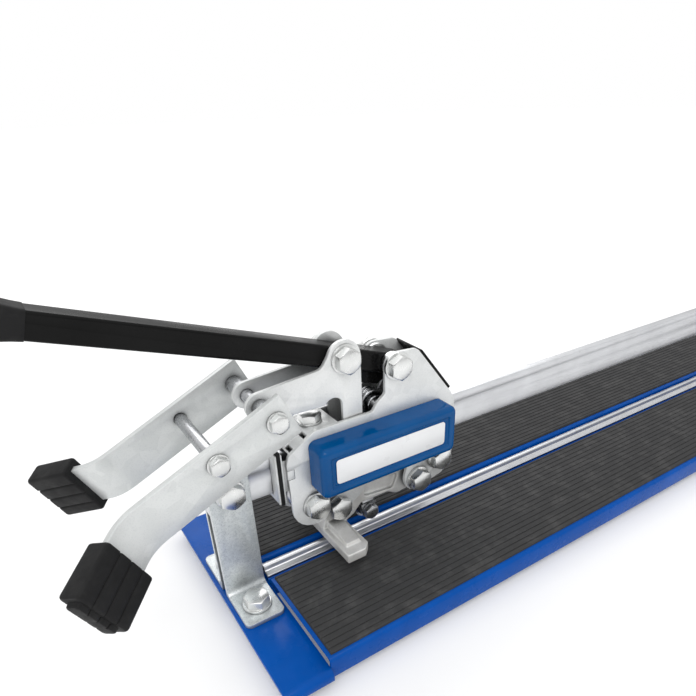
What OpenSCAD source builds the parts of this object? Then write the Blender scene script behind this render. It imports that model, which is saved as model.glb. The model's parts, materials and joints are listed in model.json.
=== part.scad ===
// Manual tile cutter: a single flat rail, a roller carriage, a lever handle, a breaking yoke and a breaker.
// Millimetres, +Z up, X along the rail. The operator stands at -X. Left is +Y and right is -Y.
// The origin is on the ground, under the middle of the whole cutter.

/* [Base] */
// Length of cut, which is the carriage's travel
cut_len = 900; // [600:50:1200]
// Length of a crossbar, across the rail
crossbar_len = 246; // [230:2:280]
// Width of a crossbar
crossbar_w = 40; // [38:1:50]
// Thickness of a crossbar
crossbar_t = 4; // [3:0.5:5]
// Height of the rubber feet
foot_h = 14; // [12:1:20]
// Height of the table mats above the crossbars
table_rise = 11; // [10:0.5:13]

/* [Rail] */
// Height of the rail bar
rail_h = 35; // [34:0.5:38]
// Thickness of the rail bar
rail_t = 8; // [6:0.5:8.5]
// Height of the rail's lower edge above the crossbars
rail_rise = 86; // [84:1:92]
// Width of a post
post_w = 34; // [30:1:36]
// Thickness of a post
post_t = 4; // [3:0.5:5]
// Length of a post's foot flange
post_foot = 42; // [40:1:46]

/* [Carriage] */
// Thickness of a side plate
plate_t = 3.5; // [3:0.5:4]
// Clear width between the side plates
plate_gap = 29; // [29:0.5:30]
// Gap between the parked carriage and the front posts
park_gap = 20; // [10:1:40]
// Diameter of the lower rollers
roller_d = 31.6; // [30:0.2:31.8]
// Length of a cover
cover_len = 136.6; // [130:0.2:138]
// Height of a cover
cover_h = 45.5; // [44:0.5:47]
// Depth of a cover, across the rail
cover_d = 22.5; // [21:0.5:24]

/* [Handle and yoke] */
// Width of the handle's tube, across the rail
tube_w = 20; // [18:0.5:20]
// Height of the handle's tube
tube_h = 18; // [17:0.5:20]
// Length of the handle from its pivot to its end
handle_len = 420; // [400:10:520]
// Angle of the handle above the rail at rest
handle_rise = 19; // [17:1:21]
// Width of a yoke bar
arm_w = 36; // [34:1:38]
// Thickness of a yoke bar
arm_t = 5; // [4:0.5:5]
// Clear width between the yoke bars
arm_gap = 75; // [72:1:80]
// Angle by which the yoke bars splay outwards at the feet
arm_splay = 42.7; // [35:0.1:45]

/* [Hidden] */

// Heights of the main levels
bar_z = foot_h + crossbar_t;
mat_z = bar_z + table_rise;
rail_z = bar_z + rail_rise;

// Hexagon hardware: width across flats, head height, washer radius and washer thickness
m12 = [19, 7.5, 12, 2.5];
m10 = [17, 6.4, 10, 2];
m8 = [13, 5.3, 8, 1.6];

// Half length of the carriage with its wiper, and its travel between the posts
carriage_half = 97;
end_gap = 2;
span = post_w + 2 * end_gap + 2 * carriage_half + cut_len;

// Points in the carriage, from its middle and the rail's lower edge
handle_pin = [18, 89];
link_pin_r = 49.3;
link_pin = handle_pin + link_pin_r * [-cos(handle_rise), sin(handle_rise)];
breaker_pin = [42, -31.3];
upper_pin = [56, rail_h + 5.8];
foot_pin = [-42, -31.3];
roller_pin = [66, -16];
yoke_pin = [-102, 85.2];
yoke_tie = [-148, 67.6];
spring_pin = [3, 54];
wheel_pin = [-6, -54.8];

// The handle grip, which reaches furthest forward
grip_h = 26;
grip_w = 26;
grip_len = 158;
tube_drop = 1.6;

// Positions along X that put the whole cutter's middle at the origin
pivot_x = post_w / 2 + park_gap + carriage_half + handle_pin[0];
reach = handle_len * cos(handle_rise) + (grip_h / 2 + tube_drop) * sin(handle_rise) - pivot_x;
front_x = (reach - span - crossbar_w / 2) / 2;
rear_x = front_x + span;
mid_x = (front_x + rear_x) / 2;
carriage_x = front_x + post_w / 2 + park_gap + carriage_half;

// Planes across the rail
plate_in = plate_gap / 2;
plate_out = plate_in + plate_t;
link_in = tube_w / 2 + 0.5;
link_t = 3.5;
link_out = link_in + link_t;
arm_in = arm_gap / 2;
arm_out = arm_in + arm_t;
post_out = rail_t / 2 + post_t;

// Tables, between the crossbars
table_in = 13;
table_out = 118;
table_gap = 1;
beam_len = span - crossbar_w;

// Side guide rollers, under the covers
side_d = 26;
side_x = 50;
side_y = rail_t / 2 + side_d / 2 + 0.2;
side_z = rail_h / 2;

// Fence across the rear end
fence_x = rear_x - post_w / 2 - 24;
fence_w = 10;
fence_top = mat_z + 16;
stop_y = -62;

// Breaker, scoring wheel and wheel holder
breaker_w = 20;
wing_x = [-57, -33];
wing_z = [-62.3, -53.5];
wing_y = 53;
wheel_d = 22;
wheel_w = 4;

// Yoke bars: end of the bar, slope, length to the bend and bend radius
arm_slope = 24.6;
arm_end = [-90.4, 88.4];
bend_r = 30;
bend_at = 131 - bend_r * tan(arm_splay / 2);
foot_len = 37.8;
foot_w = 45;
foot_t = 17.6;
foot_start = bend_r * tan(arm_splay / 2) - 19;

// Colours
blue = [0.0, 0.25, 0.62];
zinc = [0.78, 0.79, 0.8];
steel = [0.7, 0.71, 0.72];
black = [0.06, 0.06, 0.065];
cast = [0.72, 0.71, 0.69];
rubber = [0.03, 0.03, 0.03];

// ---- Helpers

// Corner points [x, y, radius] turned into an outline with round corners
function unit(v) = v / norm(v);
function corner(p0, p1, p2, r, n = 6) =
    let(a = unit(p0 - p1), b = unit(p2 - p1), half = acos(a * b) / 2)
    let(c = p1 + unit(a + b) * r / sin(half), s = p1 + a * r / tan(half) - c, e = p1 + b * r / tan(half) - c)
    let(a0 = atan2(s[1], s[0]), turn = atan2(s[0] * e[1] - s[1] * e[0], s * e))
    [for (i = [0:n]) c + r * [cos(a0 + turn * i / n), sin(a0 + turn * i / n)]];
function rounded(pts) = [
    for (i = [0:len(pts) - 1])
        let(p = pts[i], q = pts[(i + len(pts) - 1) % len(pts)], s = pts[(i + 1) % len(pts)])
        for (v = len(p) > 2 ? corner([q[0], q[1]], [p[0], p[1]], [s[0], s[1]], p[2]) : [[p[0], p[1]]]) v
];

// Points of an arc about c from angle a0 to a1
function arc(c, r, a0, a1, n = 16) = [
    for (i = [0:n]) let(a = a0 + (a1 - a0) * i / n) c + r * [cos(a), sin(a)]
];

// Carry a module into the carriage's frame
module in_carriage() {
    translate([carriage_x, 0, rail_z]) children();
}

// Extrude an outline of the XZ plane from y0 to y1
module across(y0, y1) {
    translate([0, y1, 0]) rotate([90, 0, 0]) linear_extrude(y1 - y0) children();
}

// Bar along Y at a point of the XZ plane
module y_rod(p, r, y0, y1) {
    translate([p[0], y1, p[1]]) rotate([90, 0, 0]) cylinder(r = r, h = y1 - y0, $fn = 48);
}

// Box from its lowest to its highest corner
module box(lo, hi) {
    translate(lo) cube(hi - lo);
}

// Rectangle with round corners
module round_rect(w, h, r) {
    polygon(rounded([[-w / 2, -h / 2, r], [w / 2, -h / 2, r], [w / 2, h / 2, r], [-w / 2, h / 2, r]]));
}

// Hexagon with its outer edges chamfered, from z = 0 upwards
module hex(af, h) {
    r = af / sqrt(3);
    intersection() {
        rotate(30) cylinder(r = r, h = h, $fn = 6);
        union() {
            cylinder(r = r + 1, h = h - 1.2, $fn = 48);
            translate([0, 0, h - 1.2]) cylinder(r1 = r, r2 = r - 2, h = 1.2, $fn = 48);
        }
    }
}

// Bolt head with its washer, which stands on z = 0 and points to +Z
module bolt_head(size) {
    cylinder(r = size[2], h = size[3], $fn = 48);
    translate([0, 0, size[3]]) hex(size[0], size[1]);
}

// Bolt with its head at z = 0 and its shank below
module bolt(size, shank_r, length) {
    bolt_head(size);
    translate([0, 0, -length]) cylinder(r = shank_r, h = length + 1, $fn = 48);
}

// Nut with its washer, on a shank of radius shank_r, from z = 0 upwards
module nut(size, shank_r) {
    difference() {
        bolt_head(size);
        translate([0, 0, -1]) cylinder(r = shank_r, h = 30, $fn = 48);
    }
}

// Put a bolt or nut on a plane across the rail, pointing to -Y or +Y
module facing_right(p, y) {
    translate([p[0], y, p[1]]) rotate([90, 0, 0]) children();
}
module facing_left(p, y) {
    translate([p[0], y, p[1]]) rotate([-90, 0, 0]) children();
}

// ---- Base

module crossbar(x) {
    lip = 9;
    bend = 6;
    color(blue) translate([x, 0, 0]) difference() {
        translate([-crossbar_w / 2, 0, 0]) rotate([90, 0, 90]) linear_extrude(crossbar_w) difference() {
            polygon(rounded([
                [-crossbar_len / 2, bar_z - lip], [-crossbar_len / 2, bar_z, bend],
                [crossbar_len / 2, bar_z, bend], [crossbar_len / 2, bar_z - lip]
            ]));
            polygon(rounded([
                [-crossbar_len / 2 + crossbar_t, bar_z - lip - 1],
                [-crossbar_len / 2 + crossbar_t, bar_z - crossbar_t, bend - crossbar_t],
                [crossbar_len / 2 - crossbar_t, bar_z - crossbar_t, bend - crossbar_t],
                [crossbar_len / 2 - crossbar_t, bar_z - lip - 1]
            ]));
        }
        for (s = [-1, 1]) translate([0, s * post_bolt_y, 0]) cylinder(r = 6.5, h = 40, $fn = 48);
    }
}
post_bolt_y = post_out + 23;

module crossbar_front() { crossbar(front_x); }
module crossbar_rear() { crossbar(rear_x); }

module centre_beam() {
    w = 20;
    top = bar_z + 4;
    wall = 2.5;
    color(blue) translate([mid_x - beam_len / 2, 0, 0]) rotate([90, 0, 90])
        linear_extrude(beam_len) difference() {
        polygon(rounded([[-w / 2, 6, 3], [w / 2, 6, 3], [w / 2, top, 3], [-w / 2, top, 3]]));
        polygon(rounded([
            [-w / 2 + wall, 6 + wall, 0.8], [w / 2 - wall, 6 + wall, 0.8],
            [w / 2 - wall, top - wall, 0.8], [-w / 2 + wall, top - wall, 0.8]
        ]));
    }
}

module breaking_ridge() {
    ridge_top = mat_z + 1;
    color(steel) translate([mid_x - beam_len / 2, 0, 0]) rotate([90, 0, 90]) linear_extrude(beam_len)
        polygon(rounded([
            [-9, bar_z + 4], [9, bar_z + 4], [9, bar_z + 6.5], [3, bar_z + 7.5, 2],
            [1.6, ridge_top, 1.2], [-1.6, ridge_top, 1.2], [-3, bar_z + 7.5, 2], [-9, bar_z + 6.5]
        ]));
}

// Table channel on one side of the ridge, with its edges turned down
module table(side) {
    top = mat_z - 3;
    low = 6;
    wall = 2;
    r = 4;
    w = table_out - table_in;
    color(blue) translate([mid_x - beam_len / 2, side * (table_in + w / 2), 0])
        rotate([90, 0, 90]) linear_extrude(beam_len) difference() {
            polygon(rounded([[-w / 2, low], [w / 2, low], [w / 2, top, r], [-w / 2, top, r]]));
            polygon(rounded([
                [-w / 2 + wall, low - 1], [w / 2 - wall, low - 1],
                [w / 2 - wall, top - wall, r - wall], [-w / 2 + wall, top - wall, r - wall]
            ]));
        }
}
module table_right() { table(-1); }
module table_left() { table(1); }

module mat(side) {
    w = table_out - table_in - 8;
    start = mid_x - beam_len / 2 + 3;
    end = fence_x - fence_w / 2 - 0.5;
    color(rubber) translate([(start + end) / 2, side * (table_in + table_out) / 2, mat_z - 3])
        linear_extrude(3) round_rect(end - start, w, 3);
}
module mat_right() { mat(-1); }
module mat_left() { mat(1); }

module rubber_feet() {
    color(rubber) {
        for (x = [front_x, rear_x], s = [-1, 1]) translate([x - 6 * sign(x), s * 104, 0]) {
            cylinder(r1 = 12, r2 = 13.5, h = foot_h, $fn = 48);
        }
        for (x = [mid_x - span / 5, mid_x + span / 5]) translate([x, 0, 0]) cylinder(r = 10, h = 6, $fn = 48);
    }
}

// L-shaped post: a plate beside the rail and a flange on the crossbar
module post(x, side) {
    top = rail_z + rail_h + 3;
    bend = 6;
    reach_y = post_out + post_foot;
    color(zinc) translate([x, 0, 0]) mirror([0, side < 0 ? 1 : 0, 0]) difference() {
        union() {
            translate([-post_w / 2, 0, 0]) rotate([90, 0, 90]) linear_extrude(post_w) difference() {
                polygon([
                    [rail_t / 2, bar_z], [reach_y - 8, bar_z], [reach_y - 8, bar_z + post_t],
                    [post_out + bend, bar_z + post_t], [post_out, bar_z + post_t + bend],
                    [post_out, top - 8], [rail_t / 2, top - 8]
                ]);
                translate([rail_t / 2 - 1, bar_z - 1]) square([1.5, 2]);
            }
            translate([0, reach_y - 8.01, bar_z]) linear_extrude(post_t)
                polygon(rounded([
                    [-post_w / 2, 0], [-post_w / 2, 8.01, 5], [post_w / 2, 8.01, 5], [post_w / 2, 0]
                ]));
            across(rail_t / 2, post_out) polygon(rounded([
                [-post_w / 2, top - 8.01], [-post_w / 2, top, 5],
                [post_w / 2, top, 5], [post_w / 2, top - 8.01]
            ]));
        }
        translate([0, post_bolt_y, 0]) cylinder(r = 6.5, h = 60, $fn = 48);
        y_rod([0, rail_z + rail_h / 2], 6.2, 0, 40);
        difference() {
            box([-post_w, post_out, bar_z + post_t], [post_w, post_out + bend, bar_z + post_t + bend]);
            translate([-post_w / 2, post_out + bend, bar_z + post_t + bend]) rotate([0, 90, 0])
                difference() {
                    translate([0, -2 * bend, 0]) cube([2 * bend, 2 * bend, post_w]);
                    cylinder(r = bend, h = post_w, $fn = 48);
                }
        }
    }
}
module post_front_right() { post(front_x, -1); }
module post_front_left() { post(front_x, 1); }
module post_rear_right() { post(rear_x, -1); }
module post_rear_left() { post(rear_x, 1); }

module rail() {
    len = span + post_w;
    color(steel) difference() {
        box([mid_x - len / 2, -rail_t / 2, rail_z], [mid_x + len / 2, rail_t / 2, rail_z + rail_h]);
        for (x = [front_x, rear_x]) y_rod([x, rail_z + rail_h / 2], 6.2, -10, 10);
    }
}

module frame_bolts() {
    color(zinc) for (x = [front_x, rear_x]) {
        facing_right([x, rail_z + rail_h / 2], -post_out) bolt(m12, 6, 2 * post_out + 16);
        for (s = [-1, 1]) translate([x, s * post_bolt_y, bar_z + post_t])
            bolt(m12, 6, post_t + crossbar_t + 8);
    }
}

module frame_nuts() {
    color(zinc) for (x = [front_x, rear_x]) {
        facing_left([x, rail_z + rail_h / 2], post_out) nut(m12, 6.05);
        for (s = [-1, 1]) translate([x, s * post_bolt_y, foot_h]) mirror([0, 0, 1]) difference() {
            hex(m12[0], 8);
            translate([0, 0, -1]) cylinder(r = 6.05, h = 30, $fn = 48);
        }
    }
}

// ---- Fence

module fence_bar() {
    len = 2 * table_out - 8;
    color(steel) difference() {
        box([fence_x - fence_w / 2, -len / 2, mat_z - 3], [fence_x + fence_w / 2, len / 2, fence_top]);
        box([fence_x - fence_w, -table_in - 2, mat_z - 4], [fence_x + fence_w, table_in + 2, mat_z + 3]);
    }
}

module fence_stop() {
    clear = 0.3;
    wall = 4;
    color(black) translate([fence_x, stop_y, 0]) difference() {
        union() {
            box([-fence_w / 2 - wall, -12, mat_z + 2.6], [fence_w / 2 + wall, 12, fence_top + wall]);
            box([-fence_w / 2 - 30, -12, mat_z + 2.6], [-fence_w / 2 - wall + 1, -8, mat_z + 14]);
        }
        box([-fence_w / 2 - clear, -13, mat_z], [fence_w / 2 + clear, 13, fence_top + clear]);
        translate([0, 0, fence_top]) cylinder(r = 3.1, h = 20, $fn = 48);
    }
}

module stop_knob() {
    knob_r = 10;
    color(black) translate([fence_x, stop_y, fence_top + 0.4]) {
        cylinder(r = 3, h = 12, $fn = 48);
        translate([0, 0, 5]) difference() {
            cylinder(r = knob_r, h = 11, $fn = 64);
            for (a = [0:45:315]) rotate(a) translate([knob_r + 2.2, 0, -1]) cylinder(r = 4, h = 20, $fn = 32);
        }
    }
}

// ---- Carriage

// Side plate outline, the same on both sides
module side_plate_outline() {
    polygon(rounded([
        [-88, 30, 4], [-86, 38, 6], [-61, 53, 8], [-6, 53, 3], [-1, 60, 4], [7, 66, 5], [7, 101, 11],
        [40, 98.5, 8], [80, 46.5, 8], [84, 38, 5], [84, -16, 8], [76, -36, 14], [34, -46, 12],
        [27, -30, 12], [34, 2, 4], [-50, 2, 4], [-54, -36, 8], [-86, -38, 20]
    ]));
}

module side_plate(side) {
    y0 = side < 0 ? -plate_out : plate_in;
    y1 = side < 0 ? -plate_in : plate_out;
    color(zinc) in_carriage() difference() {
        across(y0, y1) side_plate_outline();
        for (x = [-side_x, side_x]) box([x - 15, -30, side_z - 10.5], [x + 15, 30, side_z + 10.5]);
        for (s = [-1, 1]) y_rod([s * roller_pin[0], roller_pin[1]], 6.1, -30, 30);
        box([-89, -30, 16], [-81.8, 30, 25]);
        y_rod(breaker_pin, 6.1, -30, 30);
        y_rod(handle_pin, 6.1, -30, 30);
    }
}
module side_plate_right() { side_plate(-1); }
module side_plate_left() { side_plate(1); }

// Cover shell, open towards the side plate, with a recessed panel in its face
module cover(side) {
    wall = 2.2;
    panel = 1.4;
    color(blue) in_carriage() mirror([0, side > 0 ? 1 : 0, 0]) difference() {
        translate([0, -plate_out, cover_h / 2]) rotate([90, 0, 0]) linear_extrude(cover_d)
            round_rect(cover_len, cover_h, 6);
        translate([0, -plate_out + 1, cover_h / 2]) rotate([90, 0, 0])
            linear_extrude(cover_d - wall - panel + 1)
            round_rect(cover_len - 2 * wall, cover_h - 2 * wall, 6 - wall);
        translate([0, -plate_out - cover_d + panel, cover_h / 2]) rotate([90, 0, 0]) linear_extrude(5)
            round_rect(cover_len - 16, cover_h - 15, 3);
    }
}
module cover_right() { cover(-1); }
module cover_left() { cover(1); }

// Blank label in each cover's panel
module cover_labels() {
    color("whitesmoke") in_carriage() for (m = [0, 1]) mirror([0, m, 0])
        translate([0, -plate_out - cover_d + 1.4, cover_h / 2]) rotate([90, 0, 0]) linear_extrude(0.4)
            round_rect(cover_len - 26, cover_h - 23, 3);
}

// Bent sheet between the side plates, in front of the link legs
module tie_plate_front() {
    t = 2.5;
    color(zinc) in_carriage() difference() {
        across(-plate_in, plate_in) polygon([
            [-84.5, 38.6], [-61.3, 52.8], [-38, 52.8], [-38, 52.8 - t], [-60.6, 52.8 - t], [-83.2, 36.5]
        ]);
        translate([-upper_pin[0], 0, 30]) cylinder(r = 5.1, h = 40, $fn = 48);
        for (m = [0, 1], x = [-83, -70]) mirror([0, m, 0]) box([x, 6, 30], [x + 3.5, 15, 60]);
    }
}

// Dark sheet over the rear slope of the side plates
module rear_guard() {
    t = 2.5;
    slope = 52.43;
    color(black) in_carriage() translate([40, 0, 98.5]) rotate([0, slope, 0])
        translate([5, -plate_out, 0]) cube([54, 2 * plate_out, t]);
}

module adjusting_bolt() {
    color(zinc) in_carriage() translate([-upper_pin[0], 0, 52.8]) bolt(m10, 5, 3.3);
}

// Saddles that hold the upper rollers on the rail's top edge
module roller_saddles() {
    low = rail_h + 0.6;
    color(steel) in_carriage() difference() {
        union() {
            box([-61.5, -plate_in, low], [-47, plate_in, 49.5]);
            box([47, -plate_in, low], [65, plate_in, 52]);
        }
        box([-80, -5.2, low - 1], [80, 5.2, upper_pin[1] + 6]);
        for (s = [-1, 1]) y_rod([s * upper_pin[0], upper_pin[1]], 2.52, -20, 20);
    }
}

// Pins of the upper rollers and of the side rollers
module guide_pins() {
    color(steel) in_carriage() for (s = [-1, 1]) {
        y_rod([s * upper_pin[0], upper_pin[1]], 2.5, -13, 13);
        for (x = [-side_x, side_x]) translate([x, s * side_y, side_z - 9.5])
            cylinder(r = 4, h = 19, $fn = 48);
    }
}

module upper_roller(s) {
    color(steel) in_carriage() difference() {
        y_rod([s * upper_pin[0], upper_pin[1]], 5.5, -4.8, 4.8);
        y_rod([s * upper_pin[0], upper_pin[1]], 2.56, -10, 10);
    }
}
module upper_roller_front() { upper_roller(-1); }
module upper_roller_rear() { upper_roller(1); }

// Bolts that carry the lower rollers and the breaker
module roller_bolts() {
    color(zinc) in_carriage() {
        for (p = [[-roller_pin[0], roller_pin[1]], roller_pin, breaker_pin])
            facing_right(p, -plate_out) bolt(m12, 6, 2 * plate_out + 12);
    }
}

module roller_nuts() {
    color(zinc) in_carriage() {
        for (p = [[-roller_pin[0], roller_pin[1]], roller_pin, breaker_pin])
            facing_left(p, plate_out) nut(m12, 6.05);
    }
}

// Tubes that keep the lower rollers in the middle
module roller_spacers() {
    color(steel) in_carriage() for (s = [-1, 1], y = [-plate_in, 5.25]) difference() {
        y_rod([s * roller_pin[0], roller_pin[1]], 9, y, y + plate_in - 5.25);
        y_rod([s * roller_pin[0], roller_pin[1]], 6.05, -30, 30);
    }
}

module lower_roller(s) {
    color(steel) in_carriage() difference() {
        y_rod([s * roller_pin[0], roller_pin[1]], roller_d / 2, -5, 5);
        y_rod([s * roller_pin[0], roller_pin[1]], 6.06, -30, 30);
        for (y = [-5.5, 4.4]) difference() {
            y_rod([s * roller_pin[0], roller_pin[1]], 13.2, y, y + 1.1);
            y_rod([s * roller_pin[0], roller_pin[1]], 8.6, y - 1, y + 2.1);
        }
    }
}
module lower_roller_front() { lower_roller(-1); }
module lower_roller_rear() { lower_roller(1); }

// Brackets under the covers that hold the side rollers' pins
module side_roller_brackets() {
    t = 2.5;
    color(zinc) in_carriage() for (m = [0, 1], x = [-side_x, side_x]) mirror([0, m, 0]) difference() {
        union() {
            for (z = [side_z - 6.5 - t, side_z + 6.5]) box([x - 10, 12, z], [x + 10, 33.5, z + t]);
            box([x - 10, 33.5 - t, side_z - 6.5 - t], [x + 10, 33.5, side_z + 6.5 + t]);
            box([x - 10, plate_out, side_z + 6.5], [x + 10, plate_out + t, side_z + 22.5]);
        }
        translate([x, side_y, 0]) cylinder(r = 4.02, h = 60, $fn = 48);
    }
}

module side_roller(x, side) {
    color(steel) in_carriage() translate([x, side * side_y, side_z - 4]) difference() {
        cylinder(r = side_d / 2, h = 8, $fn = 64);
        translate([0, 0, -1]) cylinder(r = 4.06, h = 10, $fn = 48);
    }
}
module side_roller_right_front() { side_roller(-side_x, -1); }
module side_roller_right_rear() { side_roller(side_x, -1); }
module side_roller_left_front() { side_roller(-side_x, 1); }
module side_roller_left_rear() { side_roller(side_x, 1); }

// Wiper plates in front of and behind the rubber blade, with a tab in each side plate's notch
module wiper_plates() {
    color(zinc) in_carriage() difference() {
        union() {
            box([-97, -16.5, -5], [-95.5, 16.5, 41]);
            box([-92.5, -16.5, -5], [-91, 16.5, 41]);
            for (m = [0, 1]) mirror([0, m, 0]) {
                box([-91.5, 13, 4], [-84, plate_in, 33]);
                box([-88, 13.5, 16.2], [-82, 17.9, 24.8]);
            }
        }
        box([-100, -rail_t / 2 - 0.8, -1.5], [-80, rail_t / 2 + 0.8, rail_h + 1]);
    }
}

module wiper_blades() {
    color(rubber) in_carriage() difference() {
        box([-95.5, -17.3, -6], [-92.5, 17.3, 43.5]);
        box([-100, -rail_t / 2 - 0.3, -0.3], [-80, rail_t / 2 + 0.3, rail_h + 0.3]);
    }
}

// Coil of the torsion spring with its pin and its two legs
module return_spring() {
    coil_r = 12;
    wire_r = 1.4;
    half = 8;
    color(steel) in_carriage() {
        y_rod(spring_pin, 4, -plate_in, plate_in);
        y_rod(spring_pin, 8, -half - 1.5, half + 1.5);
        y_rod(spring_pin, coil_r, -half, half);
        translate([spring_pin[0] - coil_r + wire_r, wire_r - half, spring_pin[1]]) rotate([0, -22, 0])
            cylinder(r = wire_r, h = 19, $fn = 24);
        translate([spring_pin[0] + coil_r - wire_r, half - wire_r, spring_pin[1]]) rotate([0, 30, 0])
            cylinder(r = wire_r, h = 20, $fn = 24);
    }
}

// ---- Handle

// Frame of the handle: origin at the pivot, +X towards the grip along the tube
module on_handle() {
    in_carriage() translate([handle_pin[0], 0, handle_pin[1]])
        multmatrix([
            [-cos(handle_rise), 0, sin(handle_rise), 0],
            [0, -1, 0, 0],
            [sin(handle_rise), 0, cos(handle_rise), 0],
            [0, 0, 0, 1]
        ]) children();
}

module handle_tube() {
    wall = 2;
    back = 12;
    color(black) on_handle() difference() {
        union() {
            translate([-back, 0, 0]) rotate([90, 0, 90]) linear_extrude(handle_len + back - 6) difference() {
                translate([0, -tube_drop]) round_rect(tube_w, tube_h, 2.5);
                translate([0, -tube_drop]) round_rect(tube_w - 2 * wall, tube_h - 2 * wall, 1);
            }
            across(-5, 5) polygon([[-4, -9.5], [40, -9.5], [36, -15], [24, -21], [4, -21], [-2, -15]]);
        }
        y_rod([0, 0], 6.08, -20, 20);
        y_rod([link_pin_r, 0], 6.08, -20, 20);
    }
}

module handle_grip() {
    start = handle_len - grip_len;
    color(rubber) on_handle() difference() {
        translate([start, 0, -tube_drop]) rotate([90, 0, 90]) linear_extrude(grip_len)
            round_rect(grip_w, grip_h, 8);
        translate([start - 1, 0, -tube_drop]) rotate([90, 0, 90]) linear_extrude(grip_len - 5)
            round_rect(tube_w + 0.1, tube_h + 0.1, 2.5);
    }
}

// Handle pivot bolt with its nut, and the bushes beside the tube
module handle_bolt() {
    color(zinc) in_carriage() {
        facing_right(handle_pin, -plate_out) bolt(m12, 6, 2 * plate_out + 3);
        facing_left(handle_pin, plate_out) cap_nut();
        for (s = [-1, 1]) difference() {
            y_rod(handle_pin, 10, s > 0 ? 10.3 : -plate_in, s > 0 ? plate_in : -10.3);
            y_rod(handle_pin, 6.02, -30, 30);
        }
    }
}

// Domed nut with its washer, from z = 0 upwards
module cap_nut() {
    cylinder(r = m12[2], h = m12[3], $fn = 48);
    translate([0, 0, m12[3]]) hex(m12[0], 9);
    translate([0, 0, m12[3] + 7.5]) intersection() {
        sphere(r = 8.2, $fn = 48);
        cylinder(r = 12, h = 12, $fn = 48);
    }
}

// ---- Link plates and yoke

module link_outline() {
    a = link_pin;
    c = foot_pin;
    y = yoke_pin;
    edge = a[0] + 15;
    polygon(concat(
        arc(y, 11, 270, 95),
        corner([-104, 96], [-49, 100.8], [-43, 110], 8),
        arc(a, 15, 160, 0),
        corner([edge, 60], [edge, -24], [c[0] + 4.8, c[1] - 9.34], 14),
        arc(c, 10.5, 297, 117),
        corner([c[0] - 4.8, c[1] + 9.34], [-33, -14], [-32, 60], 12),
        [[-32, 66]],
        arc([-40.5, 66], 8.5, 0, 152),
        [[-75, 70.6]]
    ));
}

module link_plate(side) {
    y0 = side < 0 ? -link_out : link_in;
    color(zinc) in_carriage() difference() {
        across(y0, y0 + link_t) link_outline();
        y_rod(link_pin, 6.08, -30, 30);
        y_rod(yoke_pin, 5.08, -30, 30);
        y_rod(foot_pin, 6.05, -30, 30);
    }
}
module link_plate_right() { link_plate(-1); }
module link_plate_left() { link_plate(1); }

// Bolt through the handle and both link plates, and the bolt at the foot of the link legs
module link_bolt() {
    color(zinc) in_carriage() {
        facing_right(link_pin, -link_out) bolt(m12, 6, 2 * link_out + 3);
        facing_left(link_pin, link_out) cap_nut();
        y_rod(foot_pin, 6, -link_out - 1, link_out + 1);
        facing_right(foot_pin, -link_out) hex(m12[0], 8);
        facing_left(foot_pin, link_out) hex(m12[0], 8);
    }
}

// Frame of the right yoke bar: +X along it to the foot, +Y outwards to the right, +Z across its width
module on_arm() {
    in_carriage() translate([arm_end[0], -arm_in, arm_end[1]])
        multmatrix([
            [-cos(arm_slope), 0, -sin(arm_slope), 0],
            [0, -1, 0, 0],
            [-sin(arm_slope), 0, cos(arm_slope), 0],
            [0, 0, 0, 1]
        ]) children();
}

// Strip that runs straight, bends outwards and runs on by a length
module arm_strip(run) {
    c = [bend_at, bend_r + arm_t / 2];
    far = run * [cos(arm_splay), sin(arm_splay)];
    inner = arc(c, bend_r - arm_t / 2, arm_splay - 90, -90, 10);
    outer = arc(c, bend_r + arm_t / 2, -90, arm_splay - 90, 10);
    polygon(concat([[0, 0]], outer, [outer[10] + far], [inner[0] + far], inner, [[0, arm_t]]));
}

module yoke_arm(side) {
    insert = 28;
    color(zinc) mirror([0, side > 0 ? 1 : 0, 0]) difference() {
        on_arm() translate([0, 0, -arm_w / 2]) linear_extrude(arm_w) arm_strip(foot_run + insert);
        in_carriage() y_rod(yoke_pin, 5.02, -60, 0);
        in_carriage() y_rod(yoke_tie, 5.02, -60, 0);
    }
}
foot_run = 19 - bend_r * tan(arm_splay / 2);
module yoke_arm_right() { yoke_arm(-1); }
module yoke_arm_left() { yoke_arm(1); }

module yoke_rods() {
    color(steel) in_carriage() for (p = [yoke_pin, yoke_tie]) {
        y_rod(p, 5, -arm_out, arm_out);
    }
    color(steel) in_carriage() for (s = [-1, 1]) {
        y_rod(yoke_pin, 6.5, s > 0 ? 15 : -arm_in, s > 0 ? arm_in : -15);
    }
}

module yoke_bolts() {
    color(zinc) in_carriage() for (p = [yoke_pin, yoke_tie]) {
        facing_right(p, -arm_out) bolt_head(m8);
        facing_left(p, arm_out) bolt_head(m8);
    }
}

// Ribbed rubber cap on the end of a yoke bar, with a raised sole
module yoke_foot(side) {
    bar_x = foot_run;
    color(rubber) mirror([0, side > 0 ? 1 : 0, 0]) on_arm()
        translate([bend_at, bend_r + arm_t / 2, 0]) rotate(arm_splay) translate([bar_x, -bend_r, 0])
        difference() {
            union() {
                translate([0, -foot_t / 2, -foot_w / 2]) cube([foot_len, foot_t, foot_w]);
                translate([foot_len - 1, -foot_t / 2 + 3, -foot_w / 2 + 5])
                    cube([4.5, foot_t - 6, foot_w - 10]);
            }
            translate([-1, -arm_t / 2, -arm_w / 2]) cube([29, arm_t, arm_w]);
            for (z = [-12, -1, 10], y = [-1, 1]) translate([4, y * foot_t / 2, z]) rotate([0, 90, 0])
                cylinder(r = 1, h = foot_len, $fn = 16);
        }
}
module yoke_foot_right() { yoke_foot(-1); }
module yoke_foot_left() { yoke_foot(1); }

// ---- Breaker

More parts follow.
